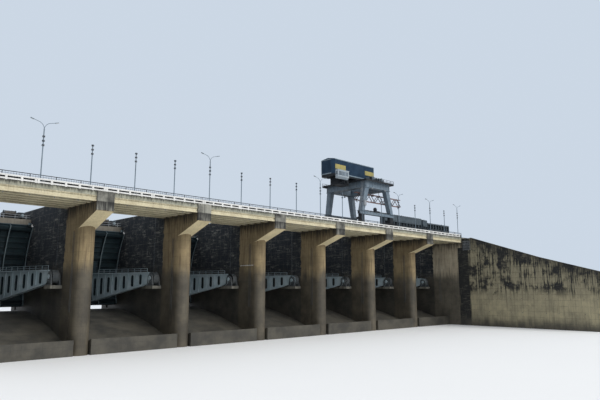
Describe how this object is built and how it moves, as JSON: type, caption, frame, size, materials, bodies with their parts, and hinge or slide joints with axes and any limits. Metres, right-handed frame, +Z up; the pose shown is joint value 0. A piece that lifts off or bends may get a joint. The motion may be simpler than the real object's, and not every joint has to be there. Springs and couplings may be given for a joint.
{
  "type": "gated dam spillway section, 1:10 scale model",
  "caption": "scale model of a gated dam spillway with radial gates between piers, a road bridge and a gantry crane",
  "frame": {"origin": "centre of the bounding box in plan, on the plane of the pier feet", "axes": "+X along the dam towards the abutment, +Y upstream, +Z up"},
  "size_m": [18.3, 10.15, 5.675],
  "materials": {
    "concrete": "formed concrete, streaked",
    "dark_concrete": "wet and stained concrete",
    "white_paint": "white painted concrete",
    "gate_steel": "dark paint, wet",
    "arm_steel": "grey paint, weathered",
    "crane_steel": "blue grey paint",
    "house_steel": "dark blue green sheet",
    "lattice_steel": "red brown primer",
    "rail_steel": "grey paint"
  },
  "bodies": {
    "root": {"pier_0": "concrete", "pier_1": "concrete", "pier_2": "concrete", "pier_3": "concrete", "pier_4": "concrete", "pier_5": "concrete", "pier_6": "concrete", "abutment": "concrete", "training_wall": "concrete", "spillway_weir": "dark_concrete", "bridge_girders": "concrete", "road_slab": "concrete", "road_railing": "white_paint", "collector_rail": "rail_steel", "lamp_posts": "rail_steel", "crane_rails": "rail_steel", "service_deck": "dark_concrete", "service_railing": "rail_steel", "gate_hoists": "rail_steel", "trunnion_ledges": "white_paint", "trunnion_brackets": "arm_steel", "stored_stoplogs": "gate_steel"},
    "gate_0": {"gate_0_skin": "gate_steel", "gate_0_arms": "arm_steel"},
    "gate_1": {"gate_1_skin": "gate_steel", "gate_1_arms": "arm_steel"},
    "gate_2": {"gate_2_skin": "gate_steel", "gate_2_arms": "arm_steel"},
    "gate_3": {"gate_3_skin": "gate_steel", "gate_3_arms": "arm_steel"},
    "gate_4": {"gate_4_skin": "gate_steel", "gate_4_arms": "arm_steel"},
    "gate_5": {"gate_5_skin": "gate_steel", "gate_5_arms": "arm_steel"},
    "gate_6": {"gate_6_skin": "gate_steel", "gate_6_arms": "arm_steel"},
    "crane": {"crane_bogies": "rail_steel", "crane_legs": "crane_steel", "crane_girders": "crane_steel", "crane_platform": "rail_steel"},
    "trolley": {"trolley_frame": "crane_steel", "machine_house": "house_steel", "operator_cabin": "crane_steel", "hoist_drums": "crane_steel", "fixed_rope_falls": "rail_steel"},
    "hook_beam": {"lifting_beam": "lattice_steel", "beam_rope_falls": "rail_steel"}
  },
  "joints": [
    {"name": "gate_0_hinge", "type": "hinge", "parent": "root", "child": "gate_0", "pos_m": [-7.71, 1.695, 1.67], "axis": [1, 0, 0], "range_deg": [-2, 42]},
    {"name": "gate_1_hinge", "type": "hinge", "parent": "root", "child": "gate_1", "pos_m": [-5.21, 1.695, 1.67], "axis": [1, 0, 0], "range_deg": [-2, 42]},
    {"name": "gate_2_hinge", "type": "hinge", "parent": "root", "child": "gate_2", "pos_m": [-2.71, 1.695, 1.67], "axis": [1, 0, 0], "range_deg": [-2, 42]},
    {"name": "gate_3_hinge", "type": "hinge", "parent": "root", "child": "gate_3", "pos_m": [-0.21, 1.695, 1.67], "axis": [1, 0, 0], "range_deg": [-2, 42]},
    {"name": "gate_4_hinge", "type": "hinge", "parent": "root", "child": "gate_4", "pos_m": [2.29, 1.695, 1.67], "axis": [1, 0, 0], "range_deg": [-2, 42]},
    {"name": "gate_5_hinge", "type": "hinge", "parent": "root", "child": "gate_5", "pos_m": [4.79, 1.695, 1.67], "axis": [1, 0, 0], "range_deg": [-2, 42]},
    {"name": "gate_6_hinge", "type": "hinge", "parent": "root", "child": "gate_6", "pos_m": [7.29, 1.695, 1.67], "axis": [1, 0, 0], "range_deg": [-2, 42]},
    {"name": "crane_travel", "type": "slide", "parent": "root", "child": "crane", "axis": [1, 0, 0], "range_m": [-10.3, 4.2]},
    {"name": "trolley_travel", "type": "slide", "parent": "crane", "child": "trolley", "axis": [0, 1, 0], "range_m": [0, 0.55]},
    {"name": "beam_hoist", "type": "slide", "parent": "trolley", "child": "hook_beam", "axis": [0, 0, 1], "range_m": [-0.45, 0]}
  ]
}
